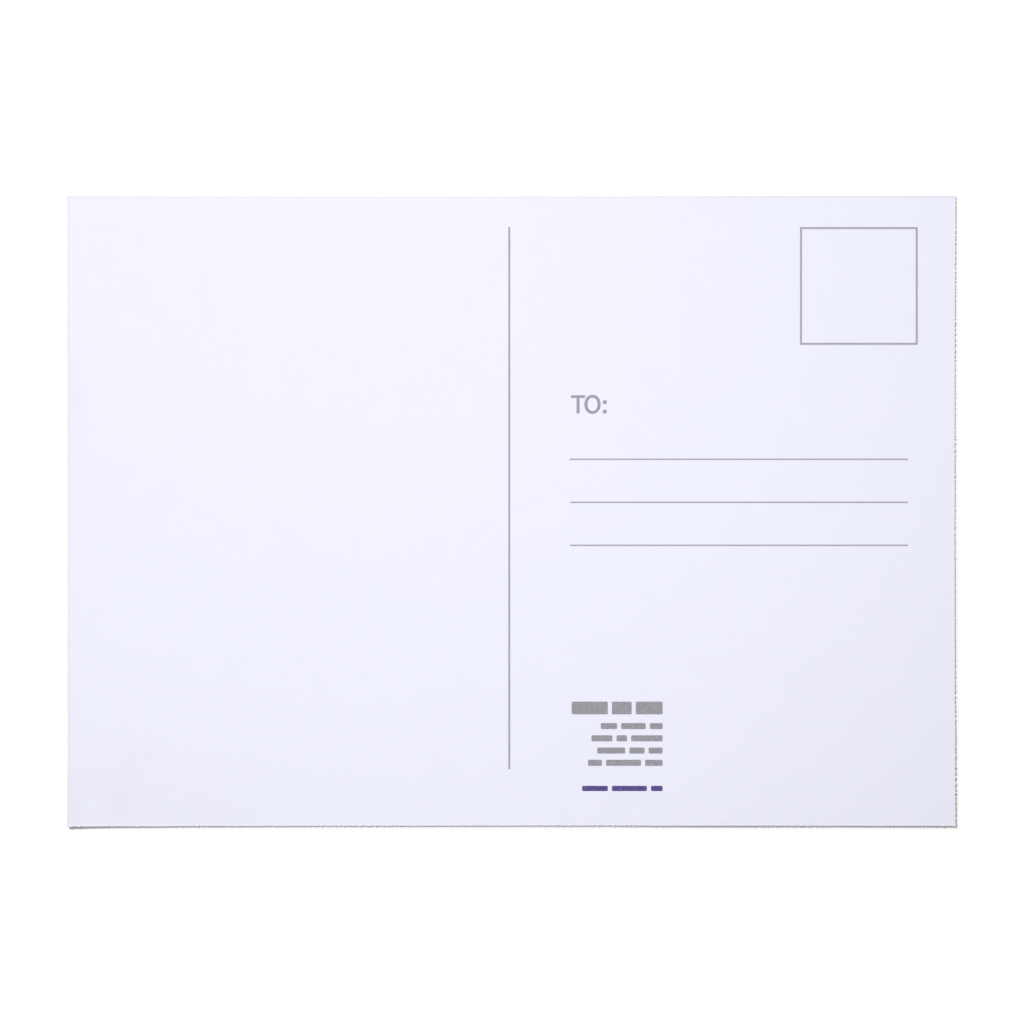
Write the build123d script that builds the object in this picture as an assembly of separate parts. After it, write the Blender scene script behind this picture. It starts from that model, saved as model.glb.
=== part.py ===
from build123d import *
import os

# Picture postcard, lying picture side down. The address side faces up (+Z), +X runs with the
# writing and +Y to the card's head. The origin is the middle of the face on the table.
# All sizes are in millimetres.

# Trimmed sheet
card_width = 152.4
card_height = 107.95
trim_roll = 0.03  # radius that the trimming blade leaves along the upper edge

# Layers of the board and its coats, from the table up
varnish_thickness = 0.006
picture_ink_thickness = 0.004
clay_coat_thickness = 0.018
picture_liner_thickness = 0.09
core_thickness = 0.198
address_liner_thickness = 0.09

# Ink on the address side: bare paper drinks most of it, so it is let into the liner
ink_soak = 0.008
ink_rise = 0.002

# Rule that parts the message from the address
divider_weight = 0.35
divider_offset = -0.32  # from the middle of the card
head_margin = 5.25  # from the card's head to the divider and the stamp frame
divider_foot_margin = 9.7

# Square frame for the stamp
stamp_side = 20.2
stamp_weight = 0.35
stamp_right_margin = 6.45

# Rules for the address
rule_count = 3
rule_weight = 0.26
rule_pitch = 7.38
rule_indent = 10.4  # from the divider to the rules
rule_right_margin = 8.1
rule_drop = 19.64  # from the stamp frame's foot to the first rule

# Edges and levels that the layout hangs from
card_right = card_width / 2
card_head = card_height / 2
print_head = card_head - head_margin
board_layers = {
    "gloss_varnish": varnish_thickness,
    "picture_ink": picture_ink_thickness,
    "clay_coat": clay_coat_thickness,
    "picture_liner": picture_liner_thickness,
    "core_ply": core_thickness,
    "address_liner": address_liner_thickness,
}
paper_face = sum(board_layers.values())


def sheet(thickness):
    """A layer as large as the trimmed card, standing on its own underside."""
    return extrude(Rectangle(card_width, card_height), thickness)


def bar(left, right, foot, head):
    """A printed bar between two upright and two level limits."""
    centre = Pos((left + right) / 2, (foot + head) / 2)
    return centre * Rectangle(right - left, head - foot)


def inked(mark):
    """The ink of a printed mark, from where it has soaked to up to its dried surface."""
    return Pos(Z=paper_face - ink_soak) * extrude(mark, ink_soak + ink_rise)


def divider_mark():
    foot = divider_foot_margin - card_head
    half_weight = divider_weight / 2
    return bar(divider_offset - half_weight, divider_offset + half_weight, foot, print_head)


def stamp_mark():
    right = card_right - stamp_right_margin
    inner_side = stamp_side - 2 * stamp_weight
    outline = Rectangle(stamp_side, stamp_side) - Rectangle(inner_side, inner_side)
    return Pos(right - stamp_side / 2, print_head - stamp_side / 2) * outline


def rule_mark(number):
    middle = print_head - stamp_side - rule_drop - number * rule_pitch
    half_weight = rule_weight / 2
    left = divider_offset + rule_indent
    right = card_right - rule_right_margin
    return bar(left, right, middle - half_weight, middle + half_weight)


# Board and coats, one on the other
parts = {}
level = 0
for layer, thickness in board_layers.items():
    parts[layer] = Pos(Z=level) * sheet(thickness)
    level += thickness

# Printed marks
inks = {"divider_rule": inked(divider_mark()), "stamp_frame": inked(stamp_mark())}
for number in range(rule_count):
    inks[f"address_rule_{number + 1}"] = inked(rule_mark(number))

# The upper liner has the blade's rolled edge, and a bed for each mark
liner = parts["address_liner"]
rolled_edges = liner.faces().sort_by(Axis.Z).last.edges()
liner = fillet(rolled_edges, min(trim_roll, address_liner_thickness / 2))
for ink in inks.values():
    liner -= ink
parts["address_liner"] = liner
parts.update(inks)

os.makedirs("parts", exist_ok=True)
for name, shape in parts.items():
    export_step(shape, f"parts/{name}.step")
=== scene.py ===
import bpy
from math import ceil, copysign, cos, exp, hypot, pi, radians, sin
from mathutils import Color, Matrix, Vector, noise
from mathutils.geometry import delaunay_2d_cdt


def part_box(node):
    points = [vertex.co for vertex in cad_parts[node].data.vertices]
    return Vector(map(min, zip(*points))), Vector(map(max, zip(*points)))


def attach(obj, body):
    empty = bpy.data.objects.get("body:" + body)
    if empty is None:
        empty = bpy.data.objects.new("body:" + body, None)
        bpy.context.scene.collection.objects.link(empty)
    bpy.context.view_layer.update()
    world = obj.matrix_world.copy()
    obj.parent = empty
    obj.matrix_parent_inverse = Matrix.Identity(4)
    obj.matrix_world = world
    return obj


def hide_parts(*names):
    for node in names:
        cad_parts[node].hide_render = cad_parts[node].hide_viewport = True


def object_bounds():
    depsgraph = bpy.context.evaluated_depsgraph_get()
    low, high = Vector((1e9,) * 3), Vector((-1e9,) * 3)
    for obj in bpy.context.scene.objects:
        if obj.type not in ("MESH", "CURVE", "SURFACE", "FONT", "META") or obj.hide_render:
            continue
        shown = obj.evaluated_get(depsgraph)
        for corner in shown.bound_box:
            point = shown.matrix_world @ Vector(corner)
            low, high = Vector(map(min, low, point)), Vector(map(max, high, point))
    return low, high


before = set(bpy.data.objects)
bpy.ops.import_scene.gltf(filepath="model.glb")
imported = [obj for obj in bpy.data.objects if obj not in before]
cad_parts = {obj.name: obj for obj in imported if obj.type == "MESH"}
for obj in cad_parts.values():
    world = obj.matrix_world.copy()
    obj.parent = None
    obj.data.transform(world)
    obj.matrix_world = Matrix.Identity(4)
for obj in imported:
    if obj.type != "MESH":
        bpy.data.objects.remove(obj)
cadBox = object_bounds()
mm = 0.001  # meshes are worked out in millimetres and stored in metres
halfWidth = cadBox[1].x / mm
halfHeight = cadBox[1].y / mm


def inMm(node):
    low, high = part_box(node)
    return low / mm, high / mm


paperFace = inMm("address_liner")[1].z
inkLow, inkHigh = (corner.z for corner in inMm("divider_rule"))  # as in all the printed marks

# Lying card

curl = {
    # corner as right and head signs: how far it has lifted off the table, mm, and how
    # close to the corner the sheet bends, tighter with a higher number
    (-1, 1): (0.04, 3.0),
    (1, 1): (0.03, 3.0),
    (-1, -1): (0.42, 20.0),
    (1, -1): (0.18, 1.9),
}

bulges = (  # where the sheet stands off the table a little: middle, half sizes, height, all mm
    ((36.0, -54.0), (13.0, 12.0), 0.1),
    ((-52.0, -54.0), (8.0, 10.0), 0.05),
    ((76.0, -41.0), (12.0, 7.0), 0.04),
)


def lift(x, y):
    total = 0.0
    for (right, head), (height, bend) in curl.items():
        reach = (right * x / halfWidth + head * y / halfHeight) / 2
        total += height * max(0.0, reach) ** bend
    for (middleX, middleY), (halfX, halfY), height in bulges:
        total += height * exp(-((x - middleX) / halfX) ** 2 - ((y - middleY) / halfY) ** 2)
    return total


# Shader wiring


class Wire:
    def __init__(self, tree, socket=None):
        self.tree = tree
        self.socket = socket

    # any node: its settings first, then values or wires for its sockets
    def add(self, kind, settings=None, sockets=None, output=0):
        node = self.tree.nodes.new(kind)
        for name, value in (settings or {}).items():
            if name == "stops":
                self.fillRamp(node.color_ramp, value)
            else:
                setattr(node, name, value)
        for name, value in (sockets or {}).items():
            if isinstance(value, Wire):
                self.tree.links.new(value.socket, node.inputs[name])
            else:
                node.inputs[name].default_value = value
        return Wire(self.tree, node.outputs[output] if node.outputs else None)

    def fillRamp(self, ramp, stops):
        while len(ramp.elements) < len(stops):
            ramp.elements.new(1.0)
        for element, (place, colour) in zip(ramp.elements, stops):
            element.position = place
            element.color = colour

    # another output of the same node
    def out(self, name):
        return Wire(self.tree, self.socket.node.outputs[name])

    def math(self, operation, first, second):
        return self.add("ShaderNodeMath", {"operation": operation}, {0: first, 1: second})

    def __add__(self, other):
        return self.math("ADD", self, other)

    def __radd__(self, other):
        return self.math("ADD", other, self)

    def __sub__(self, other):
        return self.math("SUBTRACT", self, other)

    def __rsub__(self, other):
        return self.math("SUBTRACT", other, self)

    def __mul__(self, other):
        return self.math("MULTIPLY", self, other)

    def __rmul__(self, other):
        return self.math("MULTIPLY", other, self)

    def __neg__(self):
        return self.math("MULTIPLY", self, -1.0)

    def __gt__(self, other):
        return self.math("GREATER_THAN", self, other)

    def __lt__(self, other):
        return self.math("LESS_THAN", self, other)

    def least(self, other):
        return self.math("MINIMUM", self, other)

    def most(self, other):
        return self.math("MAXIMUM", self, other)

    # 0 before start, 1 after end, eased between
    def eased(self, start, end):
        settings = {"interpolation_type": "SMOOTHSTEP"}
        sockets = {"Value": self, "From Min": start, "From Max": end}
        return self.add("ShaderNodeMapRange", settings, sockets)

    # the node's colours share their names with its numbers, so they go by place: 6 and 7 in, 2 out
    def mix(self, colourA, colourB):
        settings = {"data_type": "RGBA"}
        return self.add("ShaderNodeMix", settings, {0: self, 6: colourA, 7: colourB}, 2)


def seen(red, green, blue):  # an 8 bit screen colour as the shader wants it
    screen = Color((red / 255, green / 255, blue / 255))
    return (*screen.from_srgb_to_scene_linear(), 1.0)


black = seen(0, 0, 0)
white = seen(255, 255, 255)


def newMaterial(name):
    material = bpy.data.materials.new(name)
    material.use_nodes = True
    material.node_tree.nodes.clear()
    return material, Wire(material.node_tree)


def finishMaterial(wire, sockets):
    surface = wire.add("ShaderNodeBsdfPrincipled", sockets=sockets)
    wire.add("ShaderNodeOutputMaterial", sockets={"Surface": surface})


def ownPlace(wire):  # metres, in the card's frame
    return wire.add("ShaderNodeTexCoord").out("Object")


def acrossAndUp(wire, place):
    axes = wire.add("ShaderNodeSeparateXYZ", sockets={"Vector": place})
    return axes.out("X"), axes.out("Y")


grainMiddle = 0.5  # what the noise varies about
grainRoughness = 0.55  # share of each finer octave in it


def grain(wire, place, size, stretch=(1.0, 1.0, 1.0), detail=3.0):  # size in mm
    settings = {"operation": "MULTIPLY"}
    stretched = wire.add("ShaderNodeVectorMath", settings, {0: place, 1: stretch})
    return wire.add("ShaderNodeTexNoise", sockets={
        "Vector": stretched, "Scale": 1 / (size * mm), "Detail": detail, "Roughness": grainRoughness})


# distance from a spot on the card in units of the half sizes given, all in mm
def fromSpot(wire, place, middle, halfSizes):
    scale = [1 / (half * mm) for half in halfSizes] + [0.0]
    shift = [-centre / half for centre, half in zip(middle, halfSizes)] + [0.0]
    settings = {"operation": "MULTIPLY_ADD"}
    offset = wire.add("ShaderNodeVectorMath", settings, {0: place, 1: scale, 2: shift})
    return wire.add("ShaderNodeVectorMath", {"operation": "LENGTH"}, {0: offset}, "Value")


def relief(wire, height, strength, depth):  # depth in mm
    sockets = {"Strength": strength, "Distance": depth * mm, "Height": height}
    return wire.add("ShaderNodeBump", sockets=sockets)


def roughness(look, texture):
    least, spread = look["roughness"]
    return least + spread * texture


# Paper

paperLook = {
    "bright": seen(242, 242, 255),
    "dull": seen(239, 239, 255),
    "toneSpan": (0.3, 0.7),  # of the texture, from dull to bright
    "cloudSize": 5.0,  # mm
    "fibreSize": 0.22,
    "fibreStretch": (0.4, 1.0, 1.0),  # fibres lie along the sheet's long side
    "fibreShare": 0.7,  # of the texture, the rest being clouds
    "fleck": seen(200, 197, 208),
    "fleckStrength": 0.55,
    "fleckSpacing": 9.0,
    "fleckRadius": 0.011,  # share of the spacing
    "fleckless": 0.62,  # share of the places that have none
    # painted shade: darkens the head and left rims, set by the next two
    "paintedRimShade": seen(226, 224, 236),
    "headPaintedShade": (0.6, 0.1, 0.3),  # strength, and where its fading starts and ends, mm from the rim
    "leftPaintedShade": (0.5, 0.2, 0.6),
    # painted highlight: lightens the foot and right rims, set by the next two
    "paintedRimHighlight": seen(250, 251, 255),
    "rightPaintedHighlight": (0.1, 0.2, 0.5),
    "footPaintedHighlight": (0.35, 0.2, 0.5),
    "rimUneven": 0.12,  # mm that the fibres shift these
    "rub": seen(214, 211, 222),
    "rubs": (  # faint marks of handling: middle, half sizes in mm, strength
        ((-75.8, 19.6), (3.6, 4.6), 0.14),
        ((-76.2, 8.0), (5.0, 34.0), 0.1),
        ((-76.0, -54.0), (45.0, 18.0), 0.14),
        ((-63.6, -41.8), (6.5, 4.2), 0.06),
    ),
    "rubFade": (0.1, 1.0),  # in half sizes
    "rubPatches": (0.25, 0.6),  # the clouds that it takes to
    "relief": (0.2, 0.02),  # strength, and depth in mm
    "roughness": (0.84, 0.14),  # least, and what the fibres add
    "shine": 0.25,
}


def barePaper():
    look = paperLook
    material, wire = newMaterial("bare paper")
    place = ownPlace(wire)
    clouds = grain(wire, place, look["cloudSize"])
    fibres = grain(wire, place, look["fibreSize"], look["fibreStretch"])
    texture = look["fibreShare"] * fibres + (1 - look["fibreShare"]) * clouds
    colour = texture.eased(*look["toneSpan"]).mix(look["dull"], look["bright"])

    # a few flecks of bark and dust
    sockets = {"Vector": place, "Scale": 1 / (look["fleckSpacing"] * mm)}
    flecks = wire.add("ShaderNodeTexVoronoi", {"feature": "F1"}, sockets)
    chosen = wire.add("ShaderNodeSeparateColor", sockets={"Color": flecks.out("Color")})
    fleck = (flecks < look["fleckRadius"]) * (chosen > look["fleckless"]) * look["fleckStrength"]
    colour = fleck.mix(colour, look["fleck"])

    # handling
    for middle, halfSizes, strength in look["rubs"]:
        near = 1.0 - fromSpot(wire, place, middle, halfSizes).eased(*look["rubFade"])
        rub = near * clouds.eased(*look["rubPatches"]) * strength
        colour = rub.mix(colour, look["rub"])

    # painted shade along the head and left rims and painted highlight along the foot and right rims, each
    # fading in from the rim
    across, up = acrossAndUp(wire, place)
    uneven = (fibres - grainMiddle) * (look["rimUneven"] * mm)
    rims = (
        ("headPaintedShade", "paintedRimShade", halfHeight * mm - up),
        ("leftPaintedShade", "paintedRimShade", halfWidth * mm + across),
        ("footPaintedHighlight", "paintedRimHighlight", halfHeight * mm + up),
        ("rightPaintedHighlight", "paintedRimHighlight", halfWidth * mm - across),
    )
    for side, paintedLight, fromRim in rims:
        strength, start, end = look[side]
        near = 1.0 - (fromRim - uneven).eased(start * mm, end * mm)
        colour = (near * strength).mix(colour, look[paintedLight])

    finishMaterial(wire, {
        "Base Color": colour, "Roughness": roughness(look, fibres),
        "Normal": relief(wire, texture, *look["relief"]), "Specular IOR Level": look["shine"]})
    return material


cutLook = {
    "liner": (seen(214, 213, 234), seen(240, 240, 254)),  # dark and pale streaks
    "core": (seen(210, 206, 208), seen(236, 233, 234)),
    "streakSize": 0.25,  # mm
    "streakStretch": (0.35, 0.35, 5.0),  # the blade smears the fibres along the edge
    "streakSpan": (0.3, 0.7),
    "relief": (0.35, 0.02),
    "roughness": (0.86, 0.12),
    "shine": 0.2,
}


def cutPaper(ply):
    look = cutLook
    material, wire = newMaterial("cut " + ply)
    dark, pale = look[ply]
    streaks = grain(wire, ownPlace(wire), look["streakSize"], look["streakStretch"])
    finishMaterial(wire, {
        "Base Color": streaks.eased(*look["streakSpan"]).mix(dark, pale),
        "Roughness": roughness(look, streaks),
        "Normal": relief(wire, streaks, *look["relief"]), "Specular IOR Level": look["shine"]})
    return material


# Ink on bare paper

inkLook = {
    "rule": (seen(168, 164, 177), seen(186, 182, 195)),  # full and starved
    "label": (seen(156, 154, 165), seen(178, 176, 187)),
    "bar": (seen(150, 147, 155), seen(176, 173, 181)),
    "blue": (seen(86, 72, 134), seen(118, 106, 160)),
    "patchSize": 0.35,  # mm
    "pinholeSize": 0.12,
    "patchShare": 0.6,
    "starvedSpan": (0.42, 0.72),
    "roughness": (0.62, 0.2),
    "shine": 0.3,
}


def printedInk(kind):
    look = inkLook
    material, wire = newMaterial(kind + " ink")
    full, starved = look[kind]
    place = ownPlace(wire)
    patches = grain(wire, place, look["patchSize"], detail=2.0)
    pinholes = grain(wire, place, look["pinholeSize"], detail=1.0)
    uneven = look["patchShare"] * patches + (1 - look["patchShare"]) * pinholes
    finishMaterial(wire, {
        "Base Color": uneven.eased(*look["starvedSpan"]).mix(full, starved),
        "Roughness": roughness(look, pinholes), "Specular IOR Level": look["shine"]})
    return material


# Picture side

clayLook = {
    "white": seen(240, 240, 238),
    "shade": seen(232, 232, 231),
    "cloudSize": 1.2,  # mm
    "cloudSpan": (0.3, 0.7),
    "roughness": (0.42, 0.12),
}


def clayCoat():
    look = clayLook
    material, wire = newMaterial("clay coat")
    clouds = grain(wire, ownPlace(wire), look["cloudSize"])
    finishMaterial(wire, {
        "Base Color": clouds.eased(*look["cloudSpan"]).mix(look["shade"], look["white"]),
        "Roughness": roughness(look, clouds)})
    return material


pictureLook = {
    "sky": (  # from the horizon up
        (0.0, seen(250, 222, 176)),
        (0.3, seen(226, 216, 204)),
        (0.62, seen(132, 176, 204)),
        (1.0, seen(62, 118, 168)),
    ),
    "skyFoot": -6.0,  # mm from the card's middle
    "skyHead": 54.0,
    "cloud": seen(255, 243, 230),
    "cloudSize": 17.0,
    "cloudStretch": (0.38, 1.5, 1.0),
    "cloudSpan": (0.48, 0.72),
    "cloudRise": (0.1, 0.6),  # share of the sky's height where they thicken
    "cloudStrength": 0.8,
    "sun": seen(255, 247, 216),
    "sunPlace": (24.0, 14.0),
    "sunRadius": 5.0,
    "sunRim": (0.96, 1.04),  # radii
    "glow": seen(255, 220, 160),
    "glowReach": (0.8, 8.0),
    "glowStrength": 0.7,
    "mist": seen(240, 224, 202),
    "mistDepth": 14.0,
    "bankSize": 26.0,  # the mist lies in banks
    "bankStretch": (0.4, 1.0, 1.0),
    "bankSpan": (0.3, 0.7),
    "bankLeast": 0.45,
    "ranges": (  # far to near: foot of the ridge, its height and length, mist, firs' height, colour
        (-4.0, 26.0, 44.0, 0.8, 0.0, seen(150, 172, 188)),
        (-12.0, 20.0, 30.0, 0.75, 0.0, seen(112, 142, 156)),
        (-22.0, 18.0, 54.0, 0.7, 1.2, seen(76, 110, 112)),
        (-33.0, 15.0, 40.0, 0.65, 2.6, seen(54, 86, 74)),
        (-43.0, 12.0, 34.0, 0.5, 5.2, seen(36, 62, 50)),
        (-56.0, 14.0, 30.0, 0.0, 9.0, seen(22, 38, 30)),
    ),
    "rangesApart": 370.0,  # in the noise that shapes the ridges
    "ridgeBlur": 0.08,
    "woods": seen(14, 24, 20),
    "woodSize": 1.2,
    "woodStretch": (1.0, 0.5, 1.0),
    "woodSpan": (0.35, 0.7),
    "woodStrength": 0.08,  # on the farthest range, and as much more on each nearer one
    "firSpacing": 0.19,  # this and the next four in heights of a fir
    "firPeak": 0.5,
    "standSize": 0.8,  # firs stand taller and shorter by turns, this far apart
    "branchSize": 0.07,
    "branchDepth": 0.16,
    "standSpan": (0.25, 0.75),
    "standLeast": 0.3,
    "paperWhite": seen(250, 246, 236),
    "screenSize": 0.16,
    "screenSpan": (0.35, 0.65),
    "screenStrength": 0.03,
    "roughness": (0.4, 0.1),
    "varnish": {"Specular IOR Level": 0.0, "Coat Weight": 1.0, "Coat Roughness": 0.06, "Coat IOR": 1.5},
}


# how far a row of firs stands over its ridge
def firTops(wire, place, eastward, along, tallest):
    look = pictureLook
    sockets = {"W": along, "Scale": 1 / (look["firSpacing"] * tallest * mm)}
    crowns = wire.add("ShaderNodeTexVoronoi", {"voronoi_dimensions": "1D"}, sockets)
    stand = grain(wire, eastward, look["standSize"] * tallest).eased(*look["standSpan"])
    branches = grain(wire, place, look["branchSize"] * tallest, detail=2.0) - grainMiddle
    tops = (look["firPeak"] - crowns).most(0.0) * (look["standLeast"] + stand)
    return (tops + branches * look["branchDepth"]) * (tallest * mm)


def picturePrint():
    look = pictureLook
    material, wire = newMaterial("varnished print")
    place = ownPlace(wire)
    across, up = acrossAndUp(wire, place)

    height = (up - look["skyFoot"] * mm) * (1 / ((look["skyHead"] - look["skyFoot"]) * mm))
    colour = wire.add("ShaderNodeValToRGB", {"stops": look["sky"]}, {"Fac": height})
    clouds = grain(wire, place, look["cloudSize"], look["cloudStretch"], detail=5.0)
    cover = clouds.eased(*look["cloudSpan"]) * height.eased(*look["cloudRise"]) * look["cloudStrength"]
    colour = cover.mix(colour, look["cloud"])

    radius = look["sunRadius"]
    fromSun = fromSpot(wire, place, look["sunPlace"], (radius, radius))
    near = 1.0 - fromSun.eased(*look["glowReach"])
    colour = (near * near * look["glowStrength"]).mix(colour, look["glow"])
    colour = (1.0 - fromSun.eased(*look["sunRim"])).mix(colour, look["sun"])

    # hills with mist at their feet, and fir tops along the nearer ones
    woods = grain(wire, place, look["woodSize"], look["woodStretch"], detail=4.0).eased(*look["woodSpan"])
    banks = grain(wire, place, look["bankSize"], look["bankStretch"]).eased(*look["bankSpan"])
    thick = look["bankLeast"] + (1 - look["bankLeast"]) * banks
    blur = look["ridgeBlur"] * mm
    for number, (foot, rise, length, mist, firs, tint) in enumerate(look["ranges"]):
        ownRow = number * look["rangesApart"] * mm
        eastward = wire.add("ShaderNodeCombineXYZ", sockets={"X": across, "Y": ownRow})
        depth = grain(wire, eastward, length, detail=4.0) * (rise * mm) + foot * mm - up
        wooded = (woods * (look["woodStrength"] * (number + 1))).mix(tint, look["woods"])
        misty = (depth.eased(0.0, look["mistDepth"] * mm) * thick * mist).mix(wooded, look["mist"])
        if firs:
            depth = depth + firTops(wire, place, eastward, across + ownRow, firs)
        colour = depth.eased(-blur, blur).mix(colour, misty)

    screen = grain(wire, place, look["screenSize"], detail=1.0)
    pale = screen.eased(*look["screenSpan"]) * look["screenStrength"]
    finishMaterial(wire, {
        "Base Color": pale.mix(colour, look["paperWhite"]), "Roughness": roughness(look, screen),
        **look["varnish"]})
    return material


paper = barePaper()
linerEdge = cutPaper("liner")
coreEdge = cutPaper("core")
clay = clayCoat()
picture = picturePrint()
inks = {kind: printedInk(kind) for kind in ("rule", "label", "bar", "blue")}
print("paper, coats and inks mixed")

# Outlines and flat faces, in mm


def stepsBetween(start, end, step):
    count = max(1, ceil(hypot(end[0] - start[0], end[1] - start[1]) / step))
    for k in range(count):
        t = k / count
        yield (start[0] + (end[0] - start[0]) * t, start[1] + (end[1] - start[1]) * t)


def finely(corners, step):
    points = []
    for k, corner in enumerate(corners):
        points += stepsBetween(corner, corners[(k + 1) % len(corners)], step)
    return points


def rectangle(left, right, foot, head):
    return [(left, foot), (right, foot), (right, head), (left, head)]


def unevenness(x, y, depth, length, seed):
    return depth * noise.noise(Vector((x / length, y / length, seed)))


# triangles through the points and the loops, and which of them lie inside just one loop
def flatFaces(points, edges, loops):
    points = list(points)
    rings = []
    for loop in loops:
        rings.append(list(range(len(points), len(points) + len(loop))))
        points += loop
    insideConstraints, tolerance = 1, 1e-6
    spots, _, triangles, _, _, owners = delaunay_2d_cdt(
        [Vector(p) for p in points], edges, rings, insideConstraints, tolerance)
    return [tuple(spot) for spot in spots], triangles, [len(around) == 1 for around in owners]


# sides that belong to one triangle only, in the direction that it runs
def openSides(triangles):
    sides = {(triangle[k - 1], triangle[k]) for triangle in triangles for k in range(3)}
    return [(a, b) for a, b in sorted(sides) if (b, a) not in sides]


sharpFrom = radians(20)  # bends over this stay crisp


def newPiece(name, points, faces, materials, faceSlots=None):
    mesh = bpy.data.meshes.new(name)
    lifted = [(x * mm, y * mm, (z + lift(x, y)) * mm) for x, y, z in points]
    mesh.from_pydata(lifted, [], faces)
    for material in materials:
        mesh.materials.append(material)
    if faceSlots:
        mesh.polygons.foreach_set("material_index", faceSlots)
    mesh.shade_smooth()
    mesh.set_sharp_from_angle(angle=sharpFrom)
    mesh.validate()
    piece = bpy.data.objects.new(name, mesh)
    bpy.context.scene.collection.objects.link(piece)
    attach(piece, "root")
    return piece


# Printed marks: each is islands of ink, and an island is an outer loop and its holes

inkEdge = {"step": 0.2, "depth": 0.008, "length": 0.3}  # mm
marks = {}  # piece: ink, islands, the node that it stands for


# the ink's edge wanders a little to both sides of the loop
def ragged(loop, seed):
    moved = []
    for k, (x, y) in enumerate(loop):
        before, after = loop[k - 1], loop[(k + 1) % len(loop)]
        run = Vector((after[0] - before[0], after[1] - before[1])).normalized()
        push = unevenness(x, y, inkEdge["depth"], inkEdge["length"], seed)
        moved.append((x + run.y * push, y - run.x * push))
    return moved


def addMark(name, ink, islands, node=None):
    islands = [[ragged(loop, n) for n, loop in enumerate(island)] for island in islands]
    marks[name] = (ink, islands, node)


# Rules and stamp square

ruled = {
    "divider": "divider_rule",
    "address_line_1": "address_rule_1",
    "address_line_2": "address_rule_2",
    "address_line_3": "address_rule_3",
}


def ruledBar(name, node):
    low, high = inMm(node)
    loop = finely(rectangle(low.x, high.x, low.y, high.y), inkEdge["step"])
    addMark(name, "rule", [[loop]], node)


for name, node in ruled.items():
    ruledBar(name, node)

stampLine = {"weight": 0.35}  # mm


def stampSquare():
    low, high = inMm("stamp_frame")
    weight = stampLine["weight"]
    outer = rectangle(low.x, high.x, low.y, high.y)
    inner = rectangle(low.x + weight, high.x - weight, low.y + weight, high.y - weight)
    loops = [finely(corners, inkEdge["step"]) for corners in (outer, inner)]
    addMark("stamp_square", "rule", [loops], "stamp_frame")


stampSquare()

# Label over the address: plain block letters

label = {
    "indent": 0.2,  # from the left end of the first rule, mm
    "rise": 7.86,  # from that rule up to the foot of the letters
    "height": 3.14,
    "barWidth": 2.4,
    "barWeight": 0.48,
    "stemWeight": 0.52,
    "roundAt": 3.68,  # middle of the round letter, from the left of the bar
    "roundSize": (2.8, 3.28),
    "boreSize": (1.7, 2.28),
    "squareness": 2.1,  # 2 is a plain ellipse
    "roundPoints": 72,
    "dotsAt": 5.45,
    "dotSide": 0.66,
    "upperDot": 1.61,  # foot of the upper dot over the foot of the letters
}


def roundLoop(middleX, middleY, size):
    loop = []
    power = 2 / label["squareness"]
    for k in range(label["roundPoints"]):
        turn = 2 * pi * k / label["roundPoints"]
        c, s = cos(turn), sin(turn)
        x = size[0] / 2 * copysign(abs(c) ** power, c)
        y = size[1] / 2 * copysign(abs(s) ** power, s)
        loop.append((middleX + x, middleY + y))
    return loop


def addressLabel():
    ruleLow, ruleHigh = inMm("address_rule_1")
    left = ruleLow.x + label["indent"]
    foot = (ruleLow.y + ruleHigh.y) / 2 + label["rise"]
    head = foot + label["height"]
    barRight = left + label["barWidth"]
    stemLeft = left + (label["barWidth"] - label["stemWeight"]) / 2
    stemRight = stemLeft + label["stemWeight"]
    under = head - label["barWeight"]
    crossed = [(stemLeft, foot), (stemRight, foot), (stemRight, under), (barRight, under),
               (barRight, head), (left, head), (left, under), (stemLeft, under)]
    middleX, middleY = left + label["roundAt"], foot + label["height"] / 2
    rounds = [roundLoop(middleX, middleY, label[size]) for size in ("roundSize", "boreSize")]
    islands = [[finely(crossed, inkEdge["step"])], rounds]
    dotLeft, side = left + label["dotsAt"], label["dotSide"]
    for dotFoot in (foot, foot + label["upperDot"]):
        dot = rectangle(dotLeft, dotLeft + side, dotFoot, dotFoot + side)
        islands.append([finely(dot, inkEdge["step"])])
    addMark("address_label", "label", islands)


addressLabel()

# Plain bars at the foot, ranged right

footBars = {
    "right": 26.3,  # from the divider, mm
    "rows": (  # height of the row's middle over the card's foot, bar height, bar lengths
        (20.2, 2.2, (6.2, 3.4, 4.6)),
        (17.1, 1.05, (2.8, 4.2, 2.2)),
        (15.0, 1.05, (3.6, 1.8, 5.4)),
        (12.9, 1.05, (4.8, 2.6, 2.4)),
        (10.8, 1.05, (2.4, 6.0, 3.0)),
    ),
    "blueRow": (6.4, 0.9, (4.4, 6.0, 2.0)),
    "gap": 0.7,
    "corner": 0.2,
    "cornerSteps": 4,
}


def pill(left, right, foot, head):
    loop = []
    radius, steps = footBars["corner"], footBars["cornerSteps"]
    corners = ((right, head, 0), (left, head, 1), (left, foot, 2), (right, foot, 3))
    for x, y, quarter in corners:
        insideX = x + (radius if x == left else -radius)
        insideY = y + (radius if y == foot else -radius)
        for k in range(steps + 1):
            turn = pi / 2 * (quarter + k / steps)
            loop.append((insideX + radius * cos(turn), insideY + radius * sin(turn)))
    return finely(loop, inkEdge["step"])


def barRow(row, right):
    middle, height, lengths = row
    foot = middle - halfHeight - height / 2
    islands = []
    for length in reversed(lengths):
        islands.append([pill(right - length, right, foot, foot + height)])
        right -= length + footBars["gap"]
    return islands


def barsAtFoot():
    low, high = inMm("divider_rule")
    right = (low.x + high.x) / 2 + footBars["right"]
    islands = [island for row in footBars["rows"] for island in barRow(row, right)]
    addMark("foot_bars", "bar", islands)
    addMark("foot_bar_blue", "blue", barRow(footBars["blueRow"], right))


barsAtFoot()
print("printed marks laid out:", len(marks))

# Cut edge of the board

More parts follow.
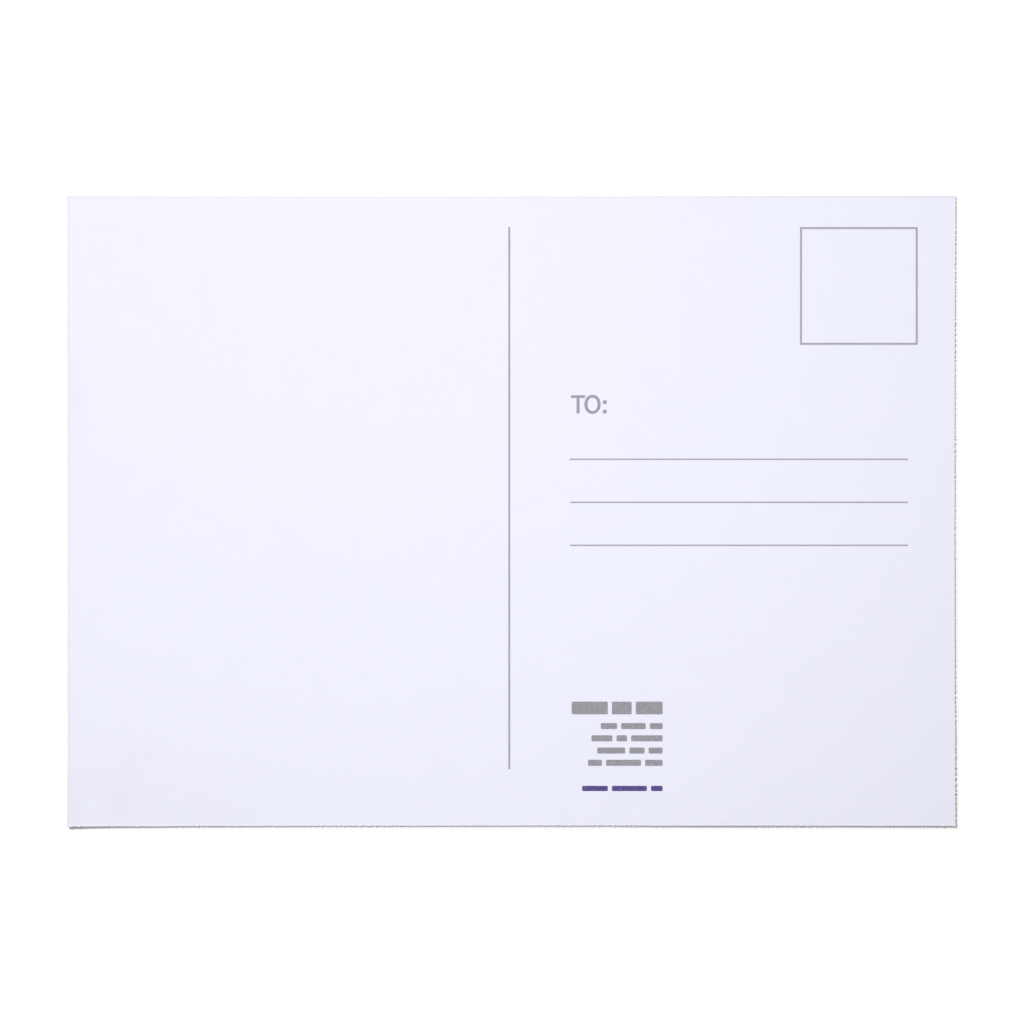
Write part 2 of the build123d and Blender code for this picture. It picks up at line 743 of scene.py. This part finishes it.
cutEdge = {
    "step": 0.16,  # spacing of points along the rim, mm
    "slow": (0.03, 7.0, 3.1),  # depth and length of the blade's waver, mm, and its seed
    "fast": (0.027, 0.29, 7.7),  # and of the torn fibres
    "torn": {"left": 1.0, "head": 1.3, "right": 5.2, "foot": 6.0},  # times that depth
    "tearReach": 2,  # points to each side that a tear stands out from
    "fuzz": (0.015, 0.4),  # depth and length of single plies' own waver
    "levelsApart": 31.0,  # in the noise that parts them
}

# how far the guillotine left each side outside its true line, mm: at its start, middle and end
trim = {
    "left": (-0.14, -0.108, -0.09),  # foot to head
    "right": (0.036, -0.101, 0.071),
    "head": (0.06, 0.02, 0.16),  # left to right
    "foot": (0.156, -0.004, 0.041),
}


# a bow through those three, where t runs from -1 to 1 along the side
def drawn(side, t):
    start, middle, end = trim[side]
    return middle + (end - start) / 2 * t + ((start + end) / 2 - middle) * t * t


def trimmed(x, y):
    across, up = x / halfWidth, y / halfHeight
    side = drawn("right" if across > 0 else "left", up)
    top = drawn("head" if up > 0 else "foot", across)
    return x + across * side, y + up * top


def insetLoop(inset, step):
    x, y = halfWidth - inset, halfHeight - inset
    return finely(rectangle(-x, x, -y, y), step)


rimPlan = insetLoop(0.0, cutEdge["step"])
rimCount = len(rimPlan)
onRim = 1 - 1e-6  # share of a half size from which a point counts as on the rim


def outward(x, y):
    normal = Vector((0.0, 0.0))
    for axis, share in enumerate((x / halfWidth, y / halfHeight)):
        if abs(share) > onRim:
            normal[axis] = share
    return normal


def nearestSide(x, y):
    across, up = x / halfWidth, y / halfHeight
    if abs(across) > abs(up):
        return "right" if across > 0 else "left"
    return "head" if up > 0 else "foot"


def tearAt(x, y):
    return unevenness(x, y, *cutEdge["fast"]) * cutEdge["torn"][nearestSide(x, y)]


# how far the blade and the tears push each point of the rim out
def cutWaver():
    tears = [tearAt(x, y) for x, y in rimPlan]
    reach = cutEdge["tearReach"]
    pushes = []
    for k, (x, y) in enumerate(rimPlan):
        beside = (tears[k - reach] + tears[(k + reach) % rimCount]) / 2
        pushes.append(unevenness(x, y, *cutEdge["slow"]) + tears[k] - beside)
    return pushes


rimWaver = cutWaver()


# the rim of a ply at one level, drawn in by the inset
def rimAt(seed, level, inset=0.0):
    loop = []
    ownSeed = seed + cutEdge["levelsApart"] * level
    for (x, y), waver in zip(rimPlan, rimWaver):
        fuzz = unevenness(x, y, *cutEdge["fuzz"], ownSeed)
        push = (waver + fuzz - inset) * outward(x, y)
        trimX, trimY = trimmed(x, y)
        loop.append((trimX + push.x, trimY + push.y, level))
    return loop


# Points of a flat face inside its rim

field = {
    "loops": ((0.4, 0.45), (1.2, 1.1), (3.0, 2.6)),  # inset and spacing, mm
    "inset": 6.5,
    "columns": 36,
    "rows": 25,
}


def fieldPoints():
    points = []
    for inset, step in field["loops"]:
        points += insetLoop(inset, step)
    reachX, reachY = halfWidth - field["inset"], halfHeight - field["inset"]
    for i in range(field["columns"] + 1):
        for j in range(field["rows"] + 1):
            across, up = 2 * i / field["columns"] - 1, 2 * j / field["rows"] - 1
            points.append((reachX * across, reachY * up))
    return [trimmed(x, y) for x, y in points]


innerPoints = fieldPoints()


def cardFace(rim, bedLoops=()):
    points = [(x, y) for x, y, level in rim] + innerPoints
    edges = [(k, (k + 1) % rimCount) for k in range(rimCount)]
    return flatFaces(points, edges, bedLoops)


faceSlot, cutSlot = 0, 1  # of a sheet's materials


# a closed sheet with a ragged cut edge; roll is the radius of its upper edge, and inside
# the bed loops its upper face lies lower, for the ink
def sheet(name, low, high, seed, materials, roll, bedLoops):
    middle = (low + high - roll) / 2
    rims = [rimAt(seed, level) for level in (low, middle, high - roll)]
    straight = len(rims) - 1  # bands of the cut below the roll
    if roll:
        eighth = (1 - cos(pi / 4)) * roll  # halfway round the roll
        rims += [rimAt(seed, high - eighth, eighth), rimAt(seed, high, roll)]
    points = [point for rim in rims for point in rim]
    faces, slots = [], []
    for level in range(len(rims) - 1):
        a, b = level * rimCount, (level + 1) * rimCount
        for k in range(rimCount):
            n = (k + 1) % rimCount
            faces.append((a + k, a + n, b + n, b + k))
            slots.append(cutSlot if level < straight else faceSlot)

    # where the mesh keeps each point of the flat faces, by its number and level
    kept = {(k, low): k for k in range(rimCount)}
    kept.update({(k, high): len(points) - rimCount + k for k in range(rimCount)})

    def at(spots, k, level):
        if (k, level) not in kept:
            kept[k, level] = len(points)
            points.append((*spots[k], level))
        return kept[k, level]

    spots, triangles, _ = cardFace(rims[0])
    faces += [tuple(at(spots, k, low) for k in reversed(triangle)) for triangle in triangles]
    spots, triangles, inBed = cardFace(rims[-1], bedLoops)
    for triangle, sunk in zip(triangles, inBed):
        faces.append(tuple(at(spots, k, inkLow if sunk else high) for k in triangle))
    bedFloor = [triangle for triangle, sunk in zip(triangles, inBed) if sunk]
    for a, b in openSides(bedFloor):
        corners = ((a, high), (b, high), (b, inkLow), (a, inkLow))
        faces.append(tuple(at(spots, k, level) for k, level in corners))
    slots += [faceSlot] * (len(faces) - len(slots))
    return newPiece(name, points, faces, materials, slots)


# Board

board = {
    # piece: nodes it stands for, slot, face and cut edge, seed, roll of the upper edge in mm
    "picture_face": (("gloss_varnish", "picture_ink"), "picture_ink", (picture, clay), 120.0, 0.0),
    "clay_layer": (("clay_coat",), "clay_coat", (clay, clay), 100.0, 0.0),
    "picture_backing": (("picture_liner",), "bleached_paper", (paper, linerEdge), 150.0, 0.0),
    "board_core": (("core_ply",), "core_paper", (coreEdge, coreEdge), 110.0, 0.0),
    "address_face": (("address_liner",), "bleached_paper", (paper, linerEdge), 4.0, 0.03),
}


def boardLayer(name):
    nodes, slot, materials, seed, roll = board[name]
    low = min(inMm(node)[0].z for node in nodes)
    high = max(inMm(node)[1].z for node in nodes)
    bedLoops = []
    if high == paperFace:
        for ink, islands, node in marks.values():
            for island in islands:
                bedLoops += island
    piece = sheet(name, low, high, seed, materials, roll, bedLoops)
    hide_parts(*nodes)


for name in board:
    boardLayer(name)
print("board and coats laid")


def inkPiece(name):
    ink, islands, node = marks[name]
    points, faces = [], []
    for island in islands:
        spots, triangles, inked = flatFaces([], [], island)
        triangles = [triangle for triangle, inside in zip(triangles, inked) if inside]
        start, count = len(points), len(spots)
        for level in (inkLow, inkHigh):
            points += [(x, y, level) for x, y in spots]
        for triangle in triangles:
            faces.append(tuple(start + k for k in reversed(triangle)))
            faces.append(tuple(start + count + k for k in triangle))
        for a, b in openSides(triangles):
            faces.append((start + a, start + b, start + count + b, start + count + a))
    piece = newPiece(name, points, faces, [inks[ink]])
    if node:
        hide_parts(node)


for name in marks:
    inkPiece(name)
print("marks printed")

# Table


def watchedRays(wire):  # what the camera sees, straight or in a mirror or glass
    path = wire.add("ShaderNodeLightPath")
    mirrored = path.out("Is Glossy Ray").most(path.out("Is Transmission Ray"))
    return path.out("Is Camera Ray").most(mirrored)


table = {
    "reach": 3.0,  # metres, as are all its lengths
    "level": -0.00002,
    "matte": {"Base Color": (0.95, 0.95, 0.95, 1.0), "Roughness": 1.0, "Specular IOR Level": 0.0},
    "shadowGlow": 0.026,  # glow that the camera sees beside the card, where its shadow falls
    "shadowEnds": (0.00045, 0.001),
    "litFrom": -0.0005,  # the sides towards the light have no shadow, from just under the card
    "nearGlow": 0.13,  # glow on the lit table round it
    "glowSlope": 0.035,  # more of it to the right and the foot, where the light falls off
    "slopeLimit": 0.07,
    "farGlow": 1.0,
    "farStarts": (0.004, 0.12),
    "open": 0.003,  # the table is open under the card, this far in, to show the picture side
    "covered": 0.0001,  # and lets light through to that side from this far outside the card
}


def tableMaterial():
    material, wire = newMaterial("white table")
    across, up = acrossAndUp(wire, ownPlace(wire))
    edgeX, edgeY = halfWidth * mm, halfHeight * mm

    # how far outside the card: on the two sides in shade, and on the two in the light
    shaded = (across - edgeX).most(-up - edgeY)
    lit = (-across - edgeX).most(up - edgeY)
    outside = shaded.most(lit)
    bare = shaded.eased(*table["shadowEnds"]).most(lit > table["litFrom"])
    slope = across * (table["glowSlope"] / edgeX) - up * (table["glowSlope"] / edgeY)
    near = table["nearGlow"] + slope.least(table["slopeLimit"]).most(-table["slopeLimit"])
    far = outside.eased(*table["farStarts"])
    glow = table["shadowGlow"] + (near - table["shadowGlow"]) * bare + table["farGlow"] * far

    plain = wire.add("ShaderNodeBsdfPrincipled", sockets=table["matte"])
    glowing = wire.add("ShaderNodeBsdfPrincipled", sockets={
        **table["matte"], "Emission Color": glow.mix(black, white), "Emission Strength": 1.0})
    top = wire.add("ShaderNodeMixShader", sockets={0: watchedRays(wire), 1: plain, 2: glowing})

    # nothing is there when looked at from below
    under = wire.add("ShaderNodeNewGeometry").out("Backfacing")
    byCamera = wire.add("ShaderNodeLightPath").out("Is Camera Ray")
    covered = (outside < table["covered"]) * (1.0 - byCamera)
    clear = wire.add("ShaderNodeBsdfTransparent")
    oneWay = wire.add("ShaderNodeMixShader", sockets={0: under.most(covered), 1: top, 2: clear})
    wire.add("ShaderNodeOutputMaterial", sockets={"Surface": oneWay})
    return material


def tableTop():
    reach, gap = table["reach"], table["open"]
    openX, openY = halfWidth * mm - gap, halfHeight * mm - gap
    outer = rectangle(-reach, reach, -reach, reach)
    inner = rectangle(-openX, openX, -openY, openY)
    points = [(x, y, table["level"]) for x, y in outer + inner]
    faces = [(k, (k + 1) % 4, 4 + (k + 1) % 4, 4 + k) for k in range(4)]
    mesh = bpy.data.meshes.new("table_floor")
    mesh.from_pydata(points, [], faces)
    mesh.materials.append(tableMaterial())
    floor = bpy.data.objects.new("table_floor", mesh)
    bpy.context.scene.collection.objects.link(floor)


tableTop()

# Light

lamps = {
    # place in metres, width in metres, share of the light on the middle of the card
    "window_key": ((-0.45, 0.58, 0.95), 0.16, 0.62),
    "overhead_soft": ((0.0133, 0.0084, 0.2526), 0.08, 0.29),
    "under_fill": ((0.1, -0.15, -0.7), 0.4, 0.8),
}


def addLamp(name, place, width, share):
    data = bpy.data.lights.new(name, "AREA")
    data.shape = "DISK"
    data.size = width
    reach = Vector(place).length
    slant = abs(place[2]) / reach
    data.energy = share * pi ** 2 * reach ** 2 / slant  # watts for that share
    lamp = bpy.data.objects.new(name, data)
    lamp.location = place
    lamp.rotation_euler = (-Vector(place)).to_track_quat("-Z", "Y").to_euler()
    lamp.visible_camera = False
    lamp.visible_glossy = False
    bpy.context.scene.collection.objects.link(lamp)


for name, (place, width, share) in lamps.items():
    addLamp(name, place, width, share)

studio = {"fill": 0.125, "backdrop": 1.0}  # what lights the card, and what the camera sees


def studioWorld():
    world = bpy.data.worlds.new("studio")
    world.use_nodes = True
    world.node_tree.nodes.clear()
    wire = Wire(world.node_tree)
    fill, backdrop = (
        wire.add("ShaderNodeBackground", sockets={"Color": white, "Strength": studio[part]})
        for part in ("fill", "backdrop"))
    sky = wire.add("ShaderNodeMixShader", sockets={0: watchedRays(wire), 1: fill, 2: backdrop})
    wire.add("ShaderNodeOutputWorld", sockets={"Surface": sky})
    bpy.context.scene.world = world


studioWorld()
print("table and lamps set")

# Camera: straight above, as the photo was taken

shot = {
    "lens": 100.0,  # mm
    "sensor": 36.0,
    "nearest": 0.01,  # metres, and so are the next two
    "acrossFrame": 0.17567,  # of the card's plane in the picture's width
    "aside": (0.000146, -0.000154),  # right and up of the card's middle
}


def placeCamera():
    data = bpy.data.cameras.new("camera")
    data.lens = shot["lens"]
    data.sensor_width = shot["sensor"]
    data.clip_start = shot["nearest"]
    camera = bpy.data.objects.new("camera", data)
    height = shot["acrossFrame"] * shot["lens"] / shot["sensor"]
    camera.location = (*shot["aside"], paperFace * mm + height)
    bpy.context.scene.collection.objects.link(camera)
    bpy.context.scene.camera = camera


placeCamera()
bpy.context.scene.view_settings.view_transform = "Standard"
